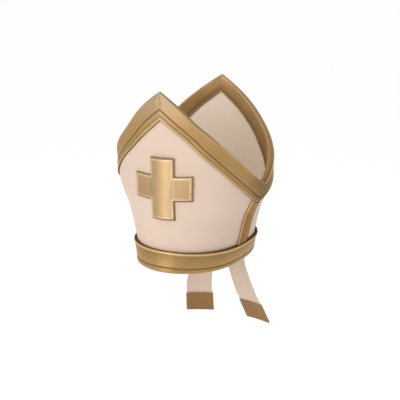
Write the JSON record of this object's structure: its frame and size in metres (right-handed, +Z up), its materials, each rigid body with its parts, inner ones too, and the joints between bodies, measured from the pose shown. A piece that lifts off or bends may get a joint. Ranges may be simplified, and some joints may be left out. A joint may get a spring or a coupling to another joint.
{
  "type": "bishop's mitre",
  "caption": "Tall folding ceremonial hat: pointed front and back panels open at the top, gold borders, raised plain cross, padded headband and hanging lappets.",
  "frame": {"origin": "about the middle of the head opening, level with the headband's lower edge, where the hat sits round a head", "axes": "+Z up, the front panel faces -Y, the wearer's left side is at +X"},
  "size_m": [0.2552, 0.223, 0.4311],
  "materials": {
    "front_panel": "matt cream silk over a stiff interlining",
    "back_panel": "matt cream silk over a stiff interlining",
    "front_border": "satin cloth of gold",
    "back_border": "satin cloth of gold",
    "front_cross": "satin cloth of gold over a stiff core",
    "headband": "satin cloth of gold over padding",
    "left_side_strip": "satin cloth of gold",
    "right_side_strip": "satin cloth of gold",
    "left_lappet": "matt cream silk",
    "right_lappet": "matt cream silk",
    "left_lappet_end": "satin cloth of gold",
    "right_lappet_end": "satin cloth of gold"
  },
  "bodies": {
    "root": {"front_panel": "front_panel", "back_panel": "back_panel", "front_border": "front_border", "back_border": "back_border", "front_cross": "front_cross", "headband": "headband", "left_side_strip": "left_side_strip", "right_side_strip": "right_side_strip", "left_lappet": "left_lappet", "right_lappet": "right_lappet", "left_lappet_end": "left_lappet_end", "right_lappet_end": "right_lappet_end"}
  },
  "joints": []
}
